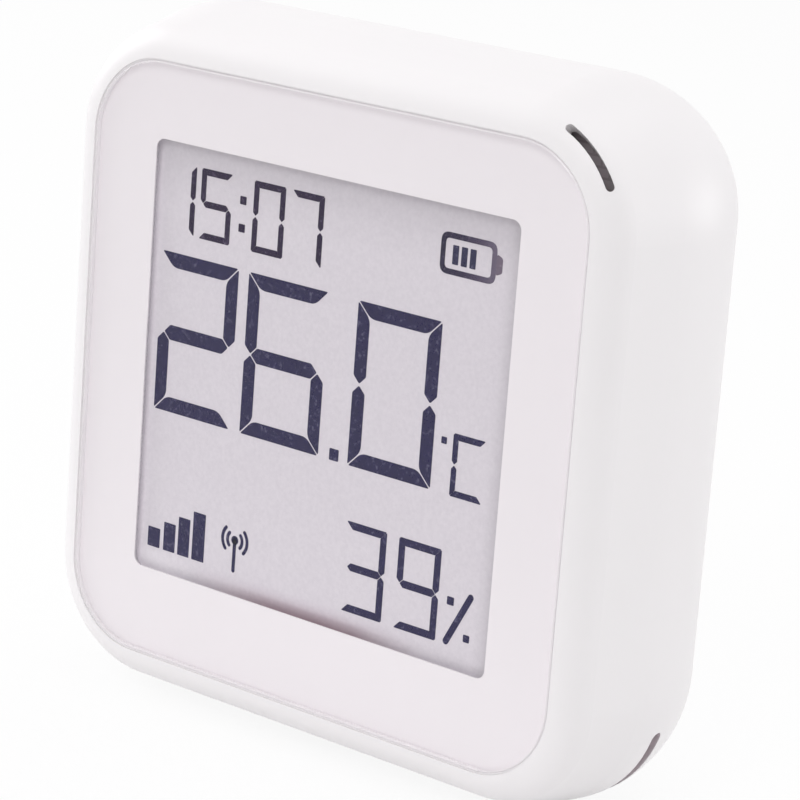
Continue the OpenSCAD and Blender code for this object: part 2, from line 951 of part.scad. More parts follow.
back_cover();
front_housing();
front_panel();
panel_mask();
display_gasket();
display_film();
display_glass();
display_carrier();
display_flex();
display_connector();
main_board();
radio_chip();
radio_crystal();
radio_shield();
chip_antenna();
humidity_sensor();
power_socket();
socket_tongue();
power_inductor();
voltage_regulator();
capacitors();
reset_switch();
switch_plunger();
reset_button();
battery_tray();
tray_screws();
upper_contacts();
lower_contacts();
cell(0, 1);  // battery_1
cell(1, -1);  // battery_2
cell(2, 1);  // battery_3
cell(3, -1);  // battery_4
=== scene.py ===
"""Looks of a wall-hung temperature and humidity sensor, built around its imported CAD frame."""

import math

import bmesh
import bpy
from mathutils import Matrix, Vector


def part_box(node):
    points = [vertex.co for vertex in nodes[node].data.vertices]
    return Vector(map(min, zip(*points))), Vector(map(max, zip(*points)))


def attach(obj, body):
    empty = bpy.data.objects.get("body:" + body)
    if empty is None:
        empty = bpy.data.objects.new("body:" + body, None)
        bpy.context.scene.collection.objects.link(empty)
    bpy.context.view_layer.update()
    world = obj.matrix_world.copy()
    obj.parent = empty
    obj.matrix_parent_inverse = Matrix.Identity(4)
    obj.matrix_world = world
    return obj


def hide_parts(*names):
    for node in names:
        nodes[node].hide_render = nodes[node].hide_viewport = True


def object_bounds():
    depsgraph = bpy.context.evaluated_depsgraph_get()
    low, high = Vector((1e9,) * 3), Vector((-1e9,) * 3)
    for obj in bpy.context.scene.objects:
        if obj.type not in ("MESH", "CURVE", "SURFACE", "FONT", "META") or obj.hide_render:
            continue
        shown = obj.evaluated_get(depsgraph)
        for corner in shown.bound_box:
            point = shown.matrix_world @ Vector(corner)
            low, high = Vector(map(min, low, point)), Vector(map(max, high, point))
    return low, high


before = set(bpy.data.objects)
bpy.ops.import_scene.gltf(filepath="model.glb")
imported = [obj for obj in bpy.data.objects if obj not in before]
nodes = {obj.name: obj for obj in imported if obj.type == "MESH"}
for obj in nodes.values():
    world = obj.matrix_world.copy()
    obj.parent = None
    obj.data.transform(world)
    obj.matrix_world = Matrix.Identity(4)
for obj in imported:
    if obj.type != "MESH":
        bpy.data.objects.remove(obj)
cad_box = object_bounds()
MM = 0.001
# Axis of the body's rounded corners, from its middle, in millimetres
CORNER_AT = 21.8


# Camera: the photo's viewing angle, fitted to the body's outline and the front panel
CAMERA_AT = Vector((0.19217, -0.25931, 0.08154))
CAMERA_AZIMUTH = math.radians(37.92)
CAMERA_ELEVATION = math.radians(14.826)
CAMERA_ROLL = math.radians(4.33)
CAMERA_LENS = 148.91
CAMERA_SENSOR = 36.0
CAMERA_NEAR = 0.01


def make_camera():
    """A level camera turned to the azimuth and elevation, then rolled about its line of sight."""
    flat = math.cos(CAMERA_ELEVATION)
    back = Vector((
        math.sin(CAMERA_AZIMUTH) * flat,
        -math.cos(CAMERA_AZIMUTH) * flat,
        math.sin(CAMERA_ELEVATION),
    ))
    right = Vector((math.cos(CAMERA_AZIMUTH), math.sin(CAMERA_AZIMUTH), 0.0))
    up = back.cross(right)
    turned_right = right * math.cos(CAMERA_ROLL) + up * math.sin(CAMERA_ROLL)
    turned_up = up * math.cos(CAMERA_ROLL) - right * math.sin(CAMERA_ROLL)
    data = bpy.data.cameras.new("camera")
    data.sensor_fit = "HORIZONTAL"
    data.sensor_width = CAMERA_SENSOR
    data.lens = CAMERA_LENS
    data.clip_start = CAMERA_NEAR
    camera = bpy.data.objects.new("camera", data)
    turn = Matrix((turned_right, turned_up, back)).transposed()
    camera.matrix_world = Matrix.Translation(CAMERA_AT) @ turn.to_4x4()
    bpy.context.scene.collection.objects.link(camera)
    bpy.context.scene.camera = camera


# Node helpers


def new_material(name):
    """A node material, its tree and its Principled shader."""
    material = bpy.data.materials.new(name)
    material.use_nodes = True
    tree = material.node_tree
    return material, tree, tree.nodes["Principled BSDF"]


def coordinates(tree, stretch=(1, 1, 1)):
    """Object coordinates in metres, stretched along each axis."""
    place = tree.nodes.new("ShaderNodeTexCoord").outputs["Object"]
    if stretch == (1, 1, 1):
        return place
    mapping = tree.nodes.new("ShaderNodeMapping")
    mapping.inputs["Scale"].default_value = stretch
    tree.links.new(place, mapping.inputs["Vector"])
    return mapping.outputs["Vector"]


def noise(tree, scale, detail=2.0, stretch=(1, 1, 1)):
    """Noise of the given scale in cycles per metre."""
    texture = tree.nodes.new("ShaderNodeTexNoise")
    texture.inputs["Scale"].default_value = scale
    texture.inputs["Detail"].default_value = detail
    tree.links.new(coordinates(tree, stretch), texture.inputs["Vector"])
    return texture.outputs["Fac"]


def ramp(tree, factor, stops, interpolation="LINEAR"):
    """Colour ramp over a factor: stops are pairs of a place and a colour."""
    node = tree.nodes.new("ShaderNodeValToRGB")
    node.color_ramp.interpolation = interpolation
    elements = node.color_ramp.elements
    while len(elements) < len(stops):
        elements.new(1.0)
    for element, (at, colour) in zip(elements, stops):
        element.position = at
        element.color = (*colour, 1.0)
    tree.links.new(factor, node.inputs["Fac"])
    return node.outputs["Color"]


def remap(tree, factor, low, high):
    """A factor from 0 to 1 brought to the range from low to high."""
    node = tree.nodes.new("ShaderNodeMapRange")
    node.inputs["To Min"].default_value = low
    node.inputs["To Max"].default_value = high
    tree.links.new(factor, node.inputs["Value"])
    return node.outputs["Result"]


def by_place(tree, place, stops):
    """Colour ramp along one axis: stops are pairs of a place in millimetres and a colour."""
    low = stops[0][0]
    high = stops[-1][0]
    node = tree.nodes.new("ShaderNodeMapRange")
    node.inputs["From Min"].default_value = low * MM
    node.inputs["From Max"].default_value = high * MM
    tree.links.new(place, node.inputs["Value"])
    shares = [((at - low) / (high - low), colour) for at, colour in stops]
    return ramp(tree, node.outputs["Result"], shares)


def mixed(tree, kind, factor, first, second):
    """Two colours mixed: the factor is a number or a socket."""
    node = tree.nodes.new("ShaderNodeMix")
    node.data_type = "RGBA"
    node.blend_type = kind
    if isinstance(factor, float):
        node.inputs["Factor"].default_value = factor
    else:
        tree.links.new(factor, node.inputs["Factor"])
    colours = [socket for socket in node.inputs if socket.type == "RGBA"]
    tree.links.new(first, colours[0])
    tree.links.new(second, colours[1])
    return [socket for socket in node.outputs if socket.type == "RGBA"][0]


def axis_of(tree, vector, axis):
    """One axis of a vector."""
    split = tree.nodes.new("ShaderNodeSeparateXYZ")
    tree.links.new(vector, split.inputs["Vector"])
    return split.outputs[axis]


def calculated(tree, operation, first, second=None):
    """A number worked out from a socket and, where it is given, a number or another socket."""
    node = tree.nodes.new("ShaderNodeMath")
    node.operation = operation
    tree.links.new(first, node.inputs[0])
    if isinstance(second, float):
        node.inputs[1].default_value = second
    elif second is not None:
        tree.links.new(second, node.inputs[1])
    return node.outputs["Value"]


def directed(tree, operation, first, second=None):
    """A vector or a number worked out from a vector's socket and, where it is given, a second one."""
    node = tree.nodes.new("ShaderNodeVectorMath")
    node.operation = operation
    tree.links.new(first, node.inputs[0])
    if second is not None:
        node.inputs[1].default_value = second
    return node.outputs["Value" if operation in ("LENGTH", "DOT_PRODUCT") else "Vector"]


def put_out(tree, output, factor, first, second):
    """Links a mix of two shaders to the output node of a material or a world."""
    mix = tree.nodes.new("ShaderNodeMixShader")
    tree.links.new(factor, mix.inputs["Fac"])
    tree.links.new(first, mix.inputs[1])
    tree.links.new(second, mix.inputs[2])
    tree.links.new(mix.outputs["Shader"], tree.nodes[output].inputs["Surface"])


def bump(tree, shader, height, strength, distance):
    """Bump from a height, with its depth in metres."""
    node = tree.nodes.new("ShaderNodeBump")
    node.inputs["Strength"].default_value = strength
    node.inputs["Distance"].default_value = distance
    tree.links.new(height, node.inputs["Height"])
    tree.links.new(node.outputs["Normal"], shader.inputs["Normal"])


def tinted(colour, share):
    """A colour with each channel scaled."""
    return tuple(channel * share for channel in colour)


def grey(level):
    """A grey of the given level."""
    return (level, level, level)


def greys(stops):
    """Stops of a ramp whose colours are given as grey levels."""
    return [(at, grey(level)) for at, level in stops]


# Moulded plastic: cycles of its uneven colour in a metre, how far its roughness strays to each
# side, and how strongly its grain shows
CLOUD_SCALE = 55
ROUGH_SPREAD = 0.05
GRAIN_STRENGTH = 0.35


def moulded(name, colour, rough, grain=4200, depth=0.012, shade=0.025):
    """Moulded plastic: fine grain, with slightly uneven colour and gloss.

    grain is in cycles per metre and depth in millimetres."""
    material, tree, shader = new_material(name)
    cloud = noise(tree, CLOUD_SCALE, detail=3.0)
    tree.links.new(
        ramp(tree, cloud, [(0.3, tinted(colour, 1 - shade)), (0.7, colour)]),
        shader.inputs["Base Color"],
    )
    fine = noise(tree, grain)
    gloss = remap(tree, fine, rough - ROUGH_SPREAD, rough + ROUGH_SPREAD)
    tree.links.new(gloss, shader.inputs["Roughness"])
    bump(tree, shader, fine, GRAIN_STRENGTH, depth * MM)
    return material


# Air slot in the lower right corner: the way to its middle from the corner's axis, and the painted
# shade of its walls by their depth under the outer skin, in millimetres
SLOT_AHEAD = (0.7071, 0, -0.7071)
SLOT_PAINTED_SHADES = ((0.5, (0.66, 0.59, 0.62)), (0.10, (0.72, 0.655, 0.69)), (0.04, grey(1.0)))


def paint_slot_shade(material, axis_at, skin_r, half_w, half_turn):
    """Paints shade on the walls of the air slot in the lower right corner, from just under the outer
    skin.

    axis_at is a point of the corner's axis, level with the slot. Lengths are in millimetres and
    half_turn, half of the arc that the slot follows, is in degrees."""
    tree = material.node_tree
    shader = tree.nodes["Principled BSDF"]
    plain = shader.inputs["Base Color"].links[0].from_socket
    away = directed(tree, "SUBTRACT", coordinates(tree), tuple(value * MM for value in axis_at))
    flat = directed(tree, "MULTIPLY", away, (1, 0, 1))
    reach = directed(tree, "LENGTH", flat)
    ahead = directed(tree, "DOT_PRODUCT", directed(tree, "NORMALIZE", flat), SLOT_AHEAD)
    off = calculated(tree, "ABSOLUTE", axis_of(tree, away, "Y"))
    near = calculated(tree, "LESS_THAN", off, half_w * MM)
    within = calculated(tree, "GREATER_THAN", ahead, math.cos(math.radians(half_turn)))
    inside = calculated(tree, "MULTIPLY", near, within)
    shade = by_place(tree, reach, [(skin_r - depth, colour) for depth, colour in SLOT_PAINTED_SHADES])
    tree.links.new(mixed(tree, "MULTIPLY", inside, plain, shade), shader.inputs["Base Color"])
    return material


def metal(name, colour, rough, stretch):
    """Plated metal with fine drawn lines along the axis that is stretched least."""
    material, tree, shader = new_material(name)
    shader.inputs["Metallic"].default_value = 1.0
    lines = noise(tree, scale=900, detail=4.0, stretch=stretch)
    tree.links.new(
        ramp(tree, lines, [(0.25, tinted(colour, 0.86)), (0.75, colour)]),
        shader.inputs["Base Color"],
    )
    tree.links.new(remap(tree, lines, rough - 0.07, rough + 0.09), shader.inputs["Roughness"])
    bump(tree, shader, lines, strength=0.2, distance=0.004 * MM)
    return material


# Materials


def clear_panel():
    """Clear acrylic sheet that lets the lamps through to the print and the display."""
    material, tree, shader = new_material("clear_acrylic")
    shader.inputs["Base Color"].default_value = (1.0, 0.995, 1.0, 1.0)
    shader.inputs["Transmission Weight"].default_value = 1.0
    shader.inputs["IOR"].default_value = 1.25
    haze = noise(tree, scale=260, detail=3.0)
    tree.links.new(remap(tree, haze, 0.015, 0.04), shader.inputs["Roughness"])
    path = tree.nodes.new("ShaderNodeLightPath")
    passing = calculated(
        tree, "MAXIMUM", path.outputs["Is Shadow Ray"], path.outputs["Is Diffuse Ray"]
    )
    clear = tree.nodes.new("ShaderNodeBsdfTransparent")
    clear.inputs["Color"].default_value = (0.98, 0.975, 0.98, 1.0)
    put_out(tree, "Material Output", passing, shader.outputs["BSDF"], clear.outputs["BSDF"])
    return material


# Display film: painted light and painted shade on it by place, in millimetres from the middle of the
# panel. Shares of the paper's own colour from left to right and toward the top: painted light at the
# left border, and painted shade on the right and toward the top, where the mask's edges shade the
# film
FILM_PAINTED_LIGHT_AND_SHADE_ACROSS = greys([
    (-22.4, 1.0), (-22.0, 0.97), (-21.7, 0.89), (-21.3, 0.835), (-20.4, 0.82),
    (20.0, 0.82), (20.7, 0.775), (21.6, 0.69),
])
FILM_PAINTED_SHADE_UPWARD = greys([(16.0, 1.0), (18.5, 0.95), (20.0, 0.89), (21.2, 0.85), (22.0, 0.86)])
# Painted shade at the foot, as shares, and how far it is left out from left to right
FILM_PAINTED_FOOT_SHADE = [
    (-21.3, (0.56, 0.43, 0.46)), (-20.6, (0.68, 0.59, 0.62)), (-20.2, (0.86, 0.81, 0.83)),
    (-19.8, (0.94, 0.92, 0.93)), (-19.2, grey(1.0)),
]
FILM_FOOT_SHADE_SPARED = greys([
    (-15.5, 1.0), (-10.0, 0.52), (-5.0, 0.1), (-1.0, 0.0), (2.0, 0.0),
    (5.5, 0.12), (10.0, 0.62), (14.5, 1.0),
])
# Painted light added in the lower left corner: upward, and the share of it from left to right
FILM_PAINTED_CORNER_LIGHT = greys([(-21.4, 0.17), (-20.4, 0.12), (-19.0, 0.0)])
FILM_PAINTED_CORNER_LIGHT_ACROSS = greys([(-21.5, 1.0), (-19.0, 0.9), (-14.5, 0.0)])
# Grain of the film and of the pigment on it, in cycles per metre
FILM_GRAIN = 2600


def film_painted_light_and_shade():
    """Matte film of a paper-like display: fine grain, with painted light at the left border and in
    the lower left corner, and painted shade at the top, on the right and at the foot, darkest in the
    middle of the foot."""
    material, tree, shader = new_material("film_painted_light_and_shade")
    grain = noise(tree, FILM_GRAIN, detail=4.0)
    paper = ramp(tree, grain, [(0.3, (0.840, 0.801, 0.850)), (0.7, (0.900, 0.861, 0.908))])
    place = coordinates(tree)
    x = axis_of(tree, place, "X")
    z = axis_of(tree, place, "Z")
    # Painted shade at the foot, darkest in its middle
    foot = mixed(tree, "SCREEN", 1.0, by_place(tree, z, FILM_PAINTED_FOOT_SHADE), by_place(tree, x, FILM_FOOT_SHADE_SPARED))
    for share in (by_place(tree, x, FILM_PAINTED_LIGHT_AND_SHADE_ACROSS), by_place(tree, z, FILM_PAINTED_SHADE_UPWARD), foot):
        paper = mixed(tree, "MULTIPLY", 1.0, paper, share)
    # Painted light added in the lower left corner
    corner_light_upward = by_place(tree, z, FILM_PAINTED_CORNER_LIGHT)
    corner = mixed(tree, "MULTIPLY", 1.0, corner_light_upward, by_place(tree, x, FILM_PAINTED_CORNER_LIGHT_ACROSS))
    tree.links.new(mixed(tree, "ADD", 1.0, paper, corner), shader.inputs["Base Color"])
    tree.links.new(remap(tree, grain, 0.62, 0.78), shader.inputs["Roughness"])
    shader.inputs["Specular IOR Level"].default_value = 0.25
    bump(tree, shader, grain, strength=0.2, distance=0.004 * MM)
    return material


def display_ink(name, colour, speck, fade=()):
    """Dark display pigment with the pale specks that such a film leaves.

    fade gives pairs of a place from left to right, in millimetres, and a colour added there."""
    material, tree, shader = new_material(name)
    grain = noise(tree, FILM_GRAIN, detail=3.0)
    ink = ramp(tree, grain, [(0.25, tinted(colour, 0.85)), (0.58, colour), (0.72, speck)])
    if fade:
        x = axis_of(tree, coordinates(tree), "X")
        ink = mixed(tree, "ADD", 1.0, ink, by_place(tree, x, fade))
    tree.links.new(ink, shader.inputs["Base Color"])
    tree.links.new(remap(tree, grain, 0.6, 0.75), shader.inputs["Roughness"])
    shader.inputs["Specular IOR Level"].default_value = 0.2
    return material


def foam():
    """Closed-cell foam."""
    material, tree, shader = new_material("pale_foam")
    cells = tree.nodes.new("ShaderNodeTexVoronoi")
    cells.inputs["Scale"].default_value = 5200
    tree.links.new(coordinates(tree), cells.inputs["Vector"])
    walls = cells.outputs["Distance"]
    tree.links.new(
        ramp(tree, walls, [(0.1, (0.50, 0.48, 0.51)), (0.6, (0.66, 0.64, 0.67))]),
        shader.inputs["Base Color"],
    )
    shader.inputs["Roughness"].default_value = 0.9
    bump(tree, shader, walls, strength=0.6, distance=0.05 * MM)
    return material


def backing_glass():
    """Glass behind the display film, dark from its coated back."""
    material, tree, shader = new_material("backing_glass")
    smear = noise(tree, scale=180)
    tree.links.new(
        ramp(tree, smear, [(0.3, (0.15, 0.17, 0.19)), (0.7, (0.18, 0.20, 0.22))]),
        shader.inputs["Base Color"],
    )
    shader.inputs["Roughness"].default_value = 0.06
    shader.inputs["Coat Weight"].default_value = 0.6
    return material


def flex_film():
    """Amber film with copper tracks that show through it."""
    material, tree, shader = new_material("amber_flex")
    tracks = tree.nodes.new("ShaderNodeTexWave")
    tracks.bands_direction = "X"
    tracks.inputs["Scale"].default_value = 640
    tree.links.new(coordinates(tree), tracks.inputs["Vector"])
    stripes = tracks.outputs["Fac"]
    tree.links.new(
        ramp(tree, stripes, [(0.35, (0.33, 0.14, 0.03)), (0.65, (0.60, 0.31, 0.09))]),
        shader.inputs["Base Color"],
    )
    shader.inputs["Roughness"].default_value = 0.3
    return material


def board_white():
    """White solder mask over copper, with faint tracks and pours under it."""
    material, tree, shader = new_material("board_white")
    tracks = tree.nodes.new("ShaderNodeTexBrick")
    tracks.inputs["Scale"].default_value = 260
    tracks.inputs["Mortar Size"].default_value = 0.03
    tracks.inputs["Color1"].default_value = (0.64, 0.575, 0.605, 1.0)
    tracks.inputs["Color2"].default_value = (0.66, 0.595, 0.625, 1.0)
    tracks.inputs["Mortar"].default_value = (0.52, 0.46, 0.485, 1.0)
    turn = tree.nodes.new("ShaderNodeMapping")
    turn.inputs["Rotation"].default_value = (math.radians(90), 0, 0)
    tree.links.new(coordinates(tree), turn.inputs["Vector"])
    tree.links.new(turn.outputs["Vector"], tracks.inputs["Vector"])
    tree.links.new(tracks.outputs["Color"], shader.inputs["Base Color"])
    weave = noise(tree, scale=1500)
    tree.links.new(remap(tree, weave, 0.28, 0.42), shader.inputs["Roughness"])
    bump(tree, shader, weave, strength=0.15, distance=0.01 * MM)
    return material


NICKEL = (0.74, 0.73, 0.71)
SLEEVE_DARK = (0.045, 0.065, 0.10)
SLEEVE_PALE = (0.50, 0.53, 0.56)
# Half of a cell's length with its cap, in millimetres
CELL_HALF = 25.25
# Bands of a cell, each by where it begins as a share of the length from the minus end
CELL_BANDS = [
    (0.0, NICKEL), (0.018, SLEEVE_DARK), (0.70, SLEEVE_PALE), (0.735, SLEEVE_DARK),
    (0.762, SLEEVE_PALE), (0.968, NICKEL),
]
# The same, 1 where a band is bare metal and 0 where it is sleeve
CELL_BARE = greys([(0.0, 1.0), (0.018, 0.0), (0.968, 1.0)])


def cell_sleeve(name, cap_side):
    """Plain shrink sleeve with a narrow and a wide pale band near the plus end, and bare metal ends.

    cap_side is 1 where the plus end points up and -1 where it points down."""
    material, tree, shader = new_material(name)
    along = tree.nodes.new("ShaderNodeMapRange")
    along.inputs["From Min"].default_value = -CELL_HALF * MM * cap_side
    along.inputs["From Max"].default_value = CELL_HALF * MM * cap_side
    tree.links.new(axis_of(tree, coordinates(tree), "Z"), along.inputs["Value"])
    for stops, entry in ((CELL_BANDS, "Base Color"), (CELL_BARE, "Metallic")):
        bands = ramp(tree, along.outputs["Result"], stops, "CONSTANT")
        tree.links.new(bands, shader.inputs[entry])
    wrap = noise(tree, scale=320, detail=3.0, stretch=(1, 1, 0.2))
    tree.links.new(remap(tree, wrap, 0.22, 0.34), shader.inputs["Roughness"])
    bump(tree, shader, wrap, strength=0.25, distance=0.02 * MM)
    return material


def shell_white(name):
    """Satin white of the housing and the cover."""
    return moulded(name, (0.900, 0.880, 0.888), 0.42, grain=5200, depth=0.006, shade=0.012)


# Grain of the smallest pieces, in cycles per metre
TINY_GRAIN = 9000

satin_white = shell_white("satin_white")
# Housing white with painted shade on the walls of the lower air slot
housing_white_painted_slot = paint_slot_shade(
    shell_white("housing_white_painted_slot"),
    axis_at=(CORNER_AT, -14.1, -CORNER_AT),
    skin_r=13.2,
    half_w=0.72,
    half_turn=30.5,
)
inner_white = moulded("inner_white", (0.80, 0.80, 0.79), 0.5)
ivory = moulded("ivory", (0.78, 0.74, 0.62), 0.48)
chip_black = moulded("chip_black", (0.028, 0.028, 0.03), 0.55, grain=TINY_GRAIN)
ferrite = moulded("ferrite_grey", (0.085, 0.085, 0.09), 0.6, grain=TINY_GRAIN)
ceramic = moulded("ceramic_tan", (0.55, 0.42, 0.28), 0.45, grain=TINY_GRAIN)
edge_frost = moulded(
    "edge_frost", (0.925, 0.898, 0.914), 0.4, grain=TINY_GRAIN, depth=0.002, shade=0.02
)
glue_pale = moulded("glue_pale", (0.88, 0.86, 0.87), 0.5, grain=TINY_GRAIN, depth=0.002, shade=0.02)
print_white = moulded(
    "print_white", (0.882, 0.846, 0.866), 0.5, grain=7000, depth=0.002, shade=0.008
)
plated = metal("plated_nickel", NICKEL, 0.27, (6, 6, 0.4))
bright_metal = metal("drawn_steel", (0.70, 0.70, 0.69), 0.3, (0.5, 5, 5))
ink_dark = display_ink("display_ink", (0.013, 0.009, 0.062), (0.085, 0.08, 0.15))
ink_black = display_ink("display_ink_black", (0.014, 0.003, 0.034), (0.08, 0.06, 0.11))
ink_fading = display_ink(
    "display_ink_fading",
    (0.012, 0.007, 0.036),
    (0.08, 0.07, 0.11),
    fade=[
        (12.9, grey(0.0)), (15.5, (0.016, 0.012, 0.02)), (17.6, (0.065, 0.052, 0.072)),
        (19.2, (0.135, 0.114, 0.143)),
    ],
)
ink_soft = display_ink("display_ink_soft", (0.022, 0.020, 0.068), (0.09, 0.085, 0.15))
ink_grey = display_ink("display_ink_grey", (0.170, 0.134, 0.185), (0.24, 0.21, 0.25))

NODE_MATERIALS = {
    "back_cover": satin_white,
    "front_housing": housing_white_painted_slot,
    "front_panel": clear_panel(),
    "panel_mask": print_white,
    "display_gasket": foam(),
    "display_film": film_painted_light_and_shade(),
    "display_glass": backing_glass(),
    "display_carrier": inner_white,
    "display_flex": flex_film(),
    "display_connector": ivory,
    "main_board": board_white(),
    "radio_chip": chip_black,
    "radio_crystal": bright_metal,
    "radio_shield": bright_metal,
    "chip_antenna": ceramic,
    "humidity_sensor": chip_black,
    "power_socket": bright_metal,
    "socket_tongue": chip_black,
    "power_inductor": ferrite,
    "voltage_regulator": chip_black,
    "capacitors": ceramic,
    "reset_switch": chip_black,
    "switch_plunger": ivory,
    "reset_button": ferrite,
    "battery_tray": inner_white,
    "tray_screws": plated,
    "upper_contacts": plated,
    "lower_contacts": plated,
    "battery_1": cell_sleeve("cell_sleeve_up", 1),
    "battery_2": cell_sleeve("cell_sleeve_down", -1),
}
NODE_MATERIALS["battery_3"] = NODE_MATERIALS["battery_1"]
NODE_MATERIALS["battery_4"] = NODE_MATERIALS["battery_2"]


def dress_nodes():
    """Gives every CAD node its material."""
    for name, material in NODE_MATERIALS.items():
        slots = nodes[name].material_slots
        if not slots:
            nodes[name].data.materials.append(material)
        for entry in slots:
            entry.material = material


# Display marks: flat shapes on the film, in millimetres from the middle of the panel

# How far they are moved on the film, because the sheet shifts what is seen through it
MARKS_AT = (-0.10, -0.04)
# Height of the pigment above the film, and how deep it is set in
INK_UP = 0.02
INK_IN = 0.01
# Steps in each rounded corner, and the most that a corner takes of a side beside it
ARC_STEPS = 5
CORNER_SHARE = 0.45
# Steps in the round end of a line
CAP_STEPS = 6
# The bars that are lit, from a at the top clockwise to f, and g in the middle
SEGMENTS = {
    "0": "abcdef",
    "1": "bc",
    "2": "abdeg",
    "3": "abcdg",
    "5": "acdfg",
    "6": "acdefg",
    "7": "abc",
    "9": "abcdfg",
    "C": "adef",
}


def rounded(points, radii):
    """An outline with each corner cut back by up to its radius and drawn as a curve.

    radii is one radius for all the corners, or one for each."""
    out = []
    count = len(points)
    if isinstance(radii, float):
        radii = [radii] * count
    for i, (x, z) in enumerate(points):
        corner = Vector((x, z))
        before = Vector(points[i - 1])
        after = Vector(points[(i + 1) % count])
        room = CORNER_SHARE * min((before - corner).length, (after - corner).length)
        reach = min(radii[i], room)
        start = corner + (before - corner).normalized() * reach
        end = corner + (after - corner).normalized() * reach
        for step in range(ARC_STEPS + 1):
            t = step / ARC_STEPS
            point = start * (1 - t) ** 2 + corner * 2 * t * (1 - t) + end * t ** 2
            out.append((point.x, point.y))
    return out


def box_outline(x0, z0, x1, z1):
    """The corners of a box from its left, foot, right and top."""
    return [(x0, z0), (x1, z0), (x1, z1), (x0, z1)]


def box(sides, radius):
    """A rounded box from its left, foot, right and top."""
    return rounded(box_outline(*sides), radius)


# How a digit's bars meet: gaps at the mitres, between the uprights and at the middle bar, and the
# roundings of the outer corners, the inner corners and the points
SMALL_BARS = {"mitre": 0.008, "mid": 0.055, "bar": 0.03, "outer": 0.22, "inner": 0.10, "tip": 0.07}
LARGE_BARS = {"mitre": 0.09, "mid": 0.09, "bar": 0.09, "outer": 0.24, "inner": 0.62, "tip": 0.16}


def digit(character, x, z, width, height, stroke, bars):
    """Seven-segment digit of mitred bars, from the left and foot of its box."""
    mid = height / 2
    half = stroke / 2
    mitre = bars["mitre"]
    part = bars["mid"]
    room = bars["bar"]
    outer = bars["outer"]
    inner = bars["inner"]
    tip = bars["tip"]
    top_bar = [
        (mitre, height, outer),
        (width - mitre, height, outer),
        (width - stroke - mitre, height - stroke, inner),
        (stroke + mitre, height - stroke, inner),
    ]
    upper_right = [
        (width, height - mitre, outer),
        (width, mid + half + part, tip),
        (width - half, mid + part, tip),
        (width - stroke, mid + half + part, tip),
        (width - stroke, height - stroke - mitre, inner),
    ]
    middle = [
        (half + room, mid, tip),
        (stroke + room, mid + half, tip),
        (width - stroke - room, mid + half, tip),
        (width - half - room, mid, tip),
        (width - stroke - room, mid - half, tip),
        (stroke + room, mid - half, tip),
    ]
    shapes = {
        "a": top_bar,
        "b": upper_right,
        "c": [(px, height - pz, r) for px, pz, r in upper_right],
        "d": [(px, height - pz, r) for px, pz, r in top_bar],
        "e": [(width - px, height - pz, r) for px, pz, r in upper_right],
        "f": [(width - px, pz, r) for px, pz, r in upper_right],
        "g": middle,
    }
    return [
        rounded([(x + px, z + pz) for px, pz, r in shapes[bar]], [r for px, pz, r in shapes[bar]])
        for bar in SEGMENTS[character]
    ]


def arc_points(x, z, radius, start, end, steps=12):
    """Points of an arc round a middle, from one angle in degrees to another."""
    turns = [math.radians(start + (end - start) * k / steps) for k in range(steps + 1)]
    return [(x + radius * math.cos(turn), z + radius * math.sin(turn)) for turn in turns]


def stripe(points, width):
    """A line of the given width through the points, with round ends."""
    half = width / 2
    left = []
    right = []
    for i, (x, z) in enumerate(points):
        ahead = Vector(points[min(i + 1, len(points) - 1)]) - Vector(points[max(i - 1, 0)])
        ahead.normalize()
        left.append((x - ahead.y * half, z + ahead.x * half))
        right.append((x + ahead.y * half, z - ahead.x * half))

    def cap(middle, edge):
        start = math.degrees(math.atan2(edge[1] - middle[1], edge[0] - middle[0]))
        return arc_points(*middle, half, start, start - 180, CAP_STEPS)[1:-1]

    return left + cap(points[-1], left[-1]) + right[::-1] + cap(points[0], right[0])


def new_piece(name, bm, material, body):
    """Turns a bmesh into a piece that rides on a body."""
    bmesh.ops.recalc_face_normals(bm, faces=bm.faces[:])
    mesh = bpy.data.meshes.new(name)
    bm.to_mesh(mesh)
    bm.free()
    mesh.materials.append(material)
    piece = bpy.data.objects.new(name, mesh)
    bpy.context.scene.collection.objects.link(piece)
    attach(piece, body)
    return piece


FILM_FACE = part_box("display_film")[0][1]


def film_marks(name, outlines, material, rings=()):
    """Raised flat shapes on the film. A ring is a pair of outlines with as many points each."""
    bm = bmesh.new()
    back = FILM_FACE + INK_IN * MM

    def corners(outline):
        return [
            bm.verts.new(((x + MARKS_AT[0]) * MM, back, (z + MARKS_AT[1]) * MM)) for x, z in outline
        ]

    for outline in outlines:
        bm.faces.new(corners(outline))
    for outer, inner in rings:
        out_verts = corners(outer)
        in_verts = corners(inner)
        count = len(out_verts)
        for i in range(count):
            j = (i + 1) % count
            bm.faces.new((out_verts[i], out_verts[j], in_verts[j], in_verts[i]))
    grown = bmesh.ops.extrude_face_region(bm, geom=bm.faces[:])
    moved = [item for item in grown["geom"] if isinstance(item, bmesh.types.BMVert)]
    bmesh.ops.translate(bm, verts=moved, vec=(0, -(INK_UP + INK_IN) * MM, 0))
    return new_piece(name, bm, material, "case")


